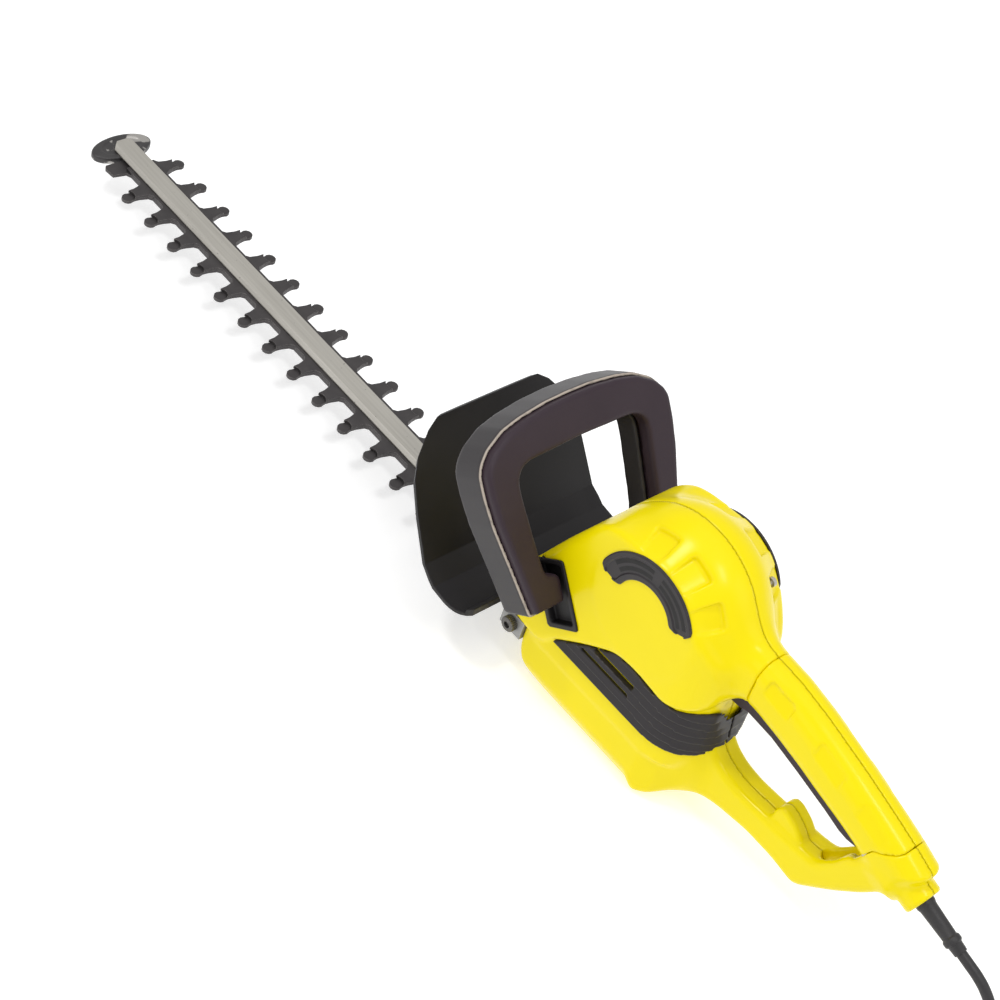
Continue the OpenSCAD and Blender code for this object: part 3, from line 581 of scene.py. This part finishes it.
for name, form, node, body, finish, slot in (
        ("loop_shell", shell_form, "front_bail", "machine", loop_grey, "grey_plastic"),
        ("loop_switch_bar", bar_form, "handle_switch_bar", "switch_bar", warm, "warm_black_plastic")):
    piece = skin(name, form, loop_low, loop_pitch, body, lay=loop_lay)
    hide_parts(node)
    piece.data.materials.append(finish.material)
dress(warm.material, "trigger")


# Sockets and guard: near-black moulded plastic with a fine matt grain. The loop's feet are screwed
# into the sockets; the guard is one bent plate on the nose.
black = Finish("black_plastic")
fade = black.noise(0.03)
nick = black.edges(0.0008) * black.noise(0.003).between(0.5, 0.7)
black.paint(Base_Color=black.mix(nick * 0.4, black.mix(fade, (0.010, 0.009, 0.010), (0.017, 0.015, 0.016)),
                                 (0.12, 0.11, 0.11)),
            Roughness=fade * 0.12 + 0.42, Specular_IOR_Level=0.3,
            Normal=black.relief(black.noise(0.0007), 0.25, 0.0002, black.rounded(0.001)))
dress(black.material, "hand_guard", "cord_clamp")
socket_low = (-22.0, -45.0, -29.0)
socket_pitch = 0.8
sa, sy, sz = grid(socket_low, socket_pitch, 48, 16, 72)
rim_plate = both(both(np.abs(sa + 4) - 14.6, np.abs(sz + 0.5) - 25, 3), np.abs(sy + 40.2) - 0.8, 0.3)
block = both(both(np.abs(sa + 3.7) - 12.3, np.abs(sz + 0.5) - 22.7, 2), np.abs(sy + 37.2) - 3.4, 0.5)
mouth = both(both(np.abs(sa + 3.7) - 10.6, np.abs(sz + 0.5) - 21, 2), sy + 35.4, 0.5)
socket = carved(np.minimum(rim_plate, block), mouth, 0.5)
for side, flip in (("left", 1), ("right", -1)):
    flat_lay = (loop_lay[0] @ np.diag([1, flip, 1]), loop_lay[1])
    piece = skin("loop_socket_" + side, socket, socket_low, socket_pitch, lay=flat_lay)
    if flip < 0:
        piece.data.flip_normals()
    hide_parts("handle_socket_" + side)
    piece.data.materials.append(black.material)


# Blades: a fixed comb below and a sliding cutter above it, stamped from hardened steel and black-oxided.
# Their cutting edges are ground, so they show brighter metal along every edge.
dark = Finish("dark_steel")
fade = dark.noise(0.01)
ground = dark.edges(0.0006) * dark.noise(0.002).between(0.3, 0.6)
dark.paint(Base_Color=dark.mix(ground * 0.7, dark.mix(fade, (0.050, 0.046, 0.048), (0.095, 0.088, 0.088)),
                               (0.36, 0.34, 0.32)),
           Metallic=0.7, Roughness=fade * 0.2 + 0.35,
           Normal=dark.relief(dark.noise(0.001), 0.2, 0.0002, dark.rounded(0.0006)))
dress(dark.material, "fixed_comb", "cutter_blade")


# Guide bar: a plated strip with bevelled sides over the blades, held by screws from below. The screws,
# bearings, pin and spring are of the same bright steel.
bright = Finish("bright_steel")
brushed = bright.noise(0.002, place=bright.stretched(0.03, 1, 1))
specks = bright.noise(0.0025, detail=6).between(0.70, 0.74)
plated = bright.mix(brushed, (0.40, 0.38, 0.34), (0.60, 0.58, 0.53))
bright.paint(Base_Color=bright.mix(specks * 0.8, plated, (0.06, 0.05, 0.05)), Metallic=0.75,
             Roughness=brushed * 0.2 + 0.32,
             Normal=bright.relief(brushed, 0.2, 0.0001, bright.rounded(0.0005)))
dress(bright.material, "guide_bar", "comb_bolts", "bar_screws", "guard_screws", "housing_screws",
      "lower_bearing", "upper_bearing", "trigger_pin", "trigger_spring")


# Tip cap: an oval pressed plate at the tip that keeps the blade ends off hard ground. It is coated
# black, with pale metallic patches painted on as highlights.
cap_low, cap_pitch = (-448.0, -30.0, 30.5), 0.8
cap_half_long, cap_half_wide, cap_middle = 12.6, 26, 37.3
cx, cy, cz = grid(cap_low, cap_pitch, 44, 74, 16)
oval = np.hypot((cx + 431.2) / cap_half_long, (cy + 1) / cap_half_wide)
oval = (oval - 1) * cap_half_long * np.clip(oval, 0.8, 1.3)
cap = both(oval, np.abs(cz - cap_middle) - 3.3, 1.6)
cap = carved(cap, both(oval + 3.4, cap_middle + 2.3 - cz, 0.4), 0.5)
piece = skin("tip_cap_form", cap, cap_low, cap_pitch)
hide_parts("tip_cap")
painted_glint_tip = Finish("painted_glint_tip_cap")
# Painted highlights: pale metallic spots scattered by noise over the black coat
painted_glints = painted_glint_tip.noise(0.012, detail=5).between(0.56, 0.62)
coat = painted_glint_tip.mix(painted_glint_tip.noise(0.006), (0.020, 0.019, 0.020), (0.050, 0.046, 0.046))
painted_glint_tip.paint(Base_Color=painted_glint_tip.mix(painted_glints * 0.8, coat, (0.55, 0.53, 0.50)),
               Metallic=painted_glints * 0.8, Roughness=0.42 - painted_glints * 0.15,
               Normal=painted_glint_tip.relief(painted_glint_tip.noise(0.001), 0.25, 0.0002))
piece.data.materials.append(painted_glint_tip.material)


# Side bolts: round oiled steel heads, one on each side of the nose, that clamp the gearcase. Each has
# a knurled rim and a socket for the key.
def turned(name, profile, place, axis, steps=48, knurls=()):
    """A lathe-turned piece. profile is pairs of distance along the axis and radius in millimetres;
    knurls is empty, or the radius of the rim that is knurled and the depth and number of its knurls."""
    aim = Vector((0, 0, 1)).rotation_difference(Vector(axis)).to_matrix()
    points, faces = [], []
    for out, r in profile:
        for i in range(steps):
            angle = 2 * math.pi * i / steps
            cut = knurls and r == knurls[0] and i * knurls[2] * 2 // steps % 2
            rim = r - (knurls[1] if cut else 0)
            spot = aim @ Vector((rim * math.cos(angle), rim * math.sin(angle), out))
            points.append(tuple((spot + Vector(place)) * mm))
    for j in range(len(profile) - 1):
        for i in range(steps):
            k = (i + 1) % steps
            faces.append((j * steps + i, j * steps + k, (j + 1) * steps + k, (j + 1) * steps + i))
    faces.append(tuple(range(steps))[::-1])
    faces.append(tuple(range((len(profile) - 1) * steps, len(profile) * steps)))
    return mesh_piece(name, points, faces, smooth=False)


oiled = Finish("oiled_steel")
dirt = oiled.noise(0.0015, detail=5)
shine = oiled.edges(0.0004) * oiled.noise(0.001).between(0.35, 0.55)
oiled.paint(Base_Color=oiled.mix(shine * 0.8, oiled.mix(dirt, (0.05, 0.048, 0.046), (0.22, 0.21, 0.20)),
                                 (0.65, 0.63, 0.60)),
            Metallic=0.8, Roughness=dirt * 0.3 + 0.25,
            Normal=oiled.relief(dirt, 0.3, 0.0002, oiled.rounded(0.0003)))
head_r = 5.7
head_profile = [(-3.0, 2.5), (5, 2.5), (5, 5.3), (5.4, head_r), (9.2, head_r), (9.8, 5.2), (10.1, 4.4),
                (10.1, 2.6), (7.6, 2.3)]
for name, side in (("left", -1), ("right", 1)):
    head = turned("side_bolt_" + name, head_profile, (86, side * 32, 37), (0, side, 0), steps=96,
                  knurls=(head_r, 0.45, 24))
    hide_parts("side_bolts")
    head.data.materials.append(oiled.material)


# Mains lead: a 7 mm round rubber cable, moulded to its relief and its plug. It leaves the relief,
# hangs down to the floor and comes back beside the machine.
rubber = Finish("cord_rubber")
dull = rubber.noise(0.006)
rubber.paint(Base_Color=rubber.mix(dull, (0.016, 0.015, 0.016), (0.028, 0.026, 0.027)),
             Roughness=dull * 0.15 + 0.42, Normal=rubber.relief(rubber.noise(0.0006), 0.3, 0.0002))
lead_route = [(0.4428, 0, 0.0883), (0.4496, 0, 0.0866), (0.459, 0, 0.084), (0.467, 0, 0.080),
              (0.476, 0, 0.072), (0.484, -0.001, 0.061), (0.491, -0.003, 0.048), (0.497, -0.007, 0.035),
              (0.503, -0.013, 0.023), (0.510, -0.021, 0.013), (0.517, -0.031, 0.006),
              (0.522, -0.043, 0.0036), (0.523, -0.056, 0.0036), (0.519, -0.069, 0.0036),
              (0.511, -0.080, 0.0036), (0.500, -0.088, 0.0036), (0.487, -0.092, 0.0042),
              (0.473, -0.093, 0.0066), (0.461, -0.093, 0.0084), (0.449, -0.093, 0.0085)]
lead_curve = bpy.data.curves.new("mains_lead", "CURVE")
lead_curve.dimensions, lead_curve.resolution_u = "3D", 6
lead_thick = 0.007
lead_curve.bevel_depth, lead_curve.bevel_resolution = lead_thick / 2, 6
lead_curve.use_fill_caps = True
line = lead_curve.splines.new("BEZIER")
line.bezier_points.add(len(lead_route) - 1)
for knot, place in zip(line.bezier_points, lead_route):
    knot.co, knot.handle_left_type, knot.handle_right_type = place, "AUTO", "AUTO"
lead = bpy.data.objects.new("mains_lead", lead_curve)
studio.collection.objects.link(lead)
lead_curve.materials.append(rubber.material)
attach(lead, "machine")
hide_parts("cord")

# The tapered relief that the lead leaves by, with a ring round its middle
way_out = Vector((math.cos(tilt), 0, -math.sin(tilt)))
relief_profile = [(-8, 6.4), (5.4, 6.4), (6, 6.2), (7.4, 5.7), (16, 5.35), (28.4, 4.9), (29.2, 5.6),
                  (29.8, 5.9), (32.4, 5.9), (33, 5.6), (33.8, 4.7), (39.4, 4.4), (40, 4.1)]
relief = turned("strain_relief_form", relief_profile, (exit_x, 0, exit_z), way_out)
for face in relief.data.polygons:
    face.use_smooth = abs(face.normal.dot(way_out)) < 0.5
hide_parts("strain_relief")

# The plug: a flat moulded body with finger grooves, and two round sleeved pins
plug_at = np.array([450, -93, 8.5])
plug_low, plug_pitch = (-52.0, -22.0, -12.0), 1.0
px, py, pz = grid(plug_low, plug_pitch, 56, 45, 25)
plug_side = eased([(2, -4.5), (2, 4.5), (-14, 6), (-24, 12), (-30, 18), (-44, 18), (-46, 16), (-46, -16),
                   (-44, -18), (-30, -18), (-24, -12), (-14, -6)], 3)
plug_form = both(inside(plug_side, px, py), np.abs(pz) - 8.4, 3)
for at in (-4, -9, -14):
    groove = np.hypot(px - at, np.maximum(4.2 - np.hypot(py, pz) * 0.5, 0)) - 0.9
    plug_form = carved(plug_form, groove, 0.5)
plug = skin("plug_body", plug_form, plug_low, plug_pitch, lay=(np.eye(3), plug_at))
pin_profile = [(0, 2.4), (10, 2.4), (10.2, 2.2), (19, 2.2), (20, 1.3)]
pins = [turned("plug_pin_" + letter, pin_profile, plug_at + (-45, off, 0), (-1, 0, 0), steps=24)
        for letter, off in (("a", -9.5), ("b", 9.5))]
for piece in [relief, plug] + pins:
    piece.data.materials.append(rubber.material)
for piece in [plug] + pins:
    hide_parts("plug")
dress(rubber.material, "inner_lead")


# Gearcase: a cast alloy tray and lid inside the nose that carry the gear and its shaft. Both are left
# as cast, with a gritty skin.
cast = Finish("cast_alloy")
grit = cast.noise(0.0009, detail=5)
cast.paint(Base_Color=cast.mix(cast.noise(0.02), (0.30, 0.30, 0.30), (0.42, 0.42, 0.41)), Metallic=0.7,
           Roughness=grit * 0.2 + 0.45, Normal=cast.relief(grit, 0.5, 0.0003, cast.rounded(0.0008)))
dress(cast.material, "gearcase_base", "gearcase_cover")


# Drive: pinion, gear with its crank pin, shaft, connecting rod and pivot pin. They are cut from steel
# and run in grease.
geared = Finish("gear_steel")
film = geared.noise(0.003, detail=4)
geared.paint(Base_Color=geared.mix(film, (0.20, 0.19, 0.18), (0.38, 0.37, 0.35)), Metallic=0.85,
             Roughness=film * 0.25 + 0.2, Normal=geared.relief(film, 0.2, 0.0001, geared.rounded(0.0003)))
dress(geared.material, "pinion", "drive_gear", "gear_shaft", "connecting_rod", "cutter_pivot_pin",
      "armature_shaft")


# Motor: stacked iron sheets with enamelled copper coils, a copper commutator, and brass brush boxes
# that hold the carbon brushes.
iron = Finish("lamination")
sheets = iron.add("TexWave", {"bands_direction": "Z"}, Vector=iron.place, Scale=320, Distortion=0.3, out=1)
iron.paint(Base_Color=iron.mix(iron.noise(0.01), (0.10, 0.10, 0.11), (0.18, 0.18, 0.19)), Metallic=0.7,
           Roughness=iron.noise(0.004) * 0.2 + 0.4, Normal=iron.relief(sheets, 0.4, 0.0003))
dress(iron.material, "stator", "armature_core")
copper = Finish("copper")
turns = copper.add("TexWave", {"bands_direction": "Z"}, Vector=copper.place, Scale=260, Distortion=1.2, out=1)
copper.paint(Base_Color=copper.mix(copper.noise(0.004), (0.42, 0.14, 0.04), (0.58, 0.22, 0.07)), Metallic=0.8,
             Roughness=copper.noise(0.003) * 0.2 + 0.3, Normal=copper.relief(turns, 0.5, 0.0004))
dress(copper.material, "field_coils", "armature_windings", "commutator")
brass = Finish("brass")
brass.paint(Base_Color=brass.mix(brass.noise(0.005), (0.50, 0.36, 0.12), (0.62, 0.46, 0.18)), Metallic=0.9,
            Roughness=brass.noise(0.002) * 0.2 + 0.28,
            Normal=brass.relief(brass.noise(0.001), 0.2, 0.0001, brass.rounded(0.0003)))
dress(brass.material, "brush_holders")
carbon = Finish("carbon")
carbon.paint(Base_Color=carbon.mix(carbon.noise(0.001), (0.012, 0.012, 0.013), (0.035, 0.035, 0.036)),
             Roughness=carbon.noise(0.001) * 0.2 + 0.6,
             Normal=carbon.relief(carbon.noise(0.0004), 0.4, 0.0002))
dress(carbon.material, "carbon_brushes")


# Controls and fan: two switches in black moulded cases with nylon plungers, a blue dipped capacitor,
# and the motor's fan in the same black plastic as the switches.
phenolic = Finish("switch_plastic")
phenolic.paint(Base_Color=phenolic.mix(phenolic.noise(0.01), (0.025, 0.024, 0.024), (0.045, 0.042, 0.040)),
               Roughness=phenolic.noise(0.003) * 0.15 + 0.4,
               Normal=phenolic.relief(phenolic.noise(0.0005), 0.3, 0.0002, phenolic.rounded(0.0004)))
dress(phenolic.material, "rear_switch", "front_switch", "motor_fan")
nylon = Finish("plunger_plastic")
nylon.paint(Base_Color=nylon.mix(nylon.noise(0.004), (0.62, 0.60, 0.54), (0.74, 0.72, 0.66)),
            Roughness=nylon.noise(0.002) * 0.15 + 0.38, Normal=nylon.relief(nylon.noise(0.0008), 0.2, 0.0001))
dress(nylon.material, "rear_plunger", "front_plunger")
blue = Finish("capacitor_case")
blue.paint(Base_Color=blue.mix(blue.noise(0.006), (0.03, 0.07, 0.22), (0.05, 0.11, 0.30)),
           Roughness=blue.noise(0.002) * 0.15 + 0.3,
           Normal=blue.relief(blue.noise(0.0006), 0.2, 0.0001, blue.rounded(0.0006)))
dress(blue.material, "capacitor")
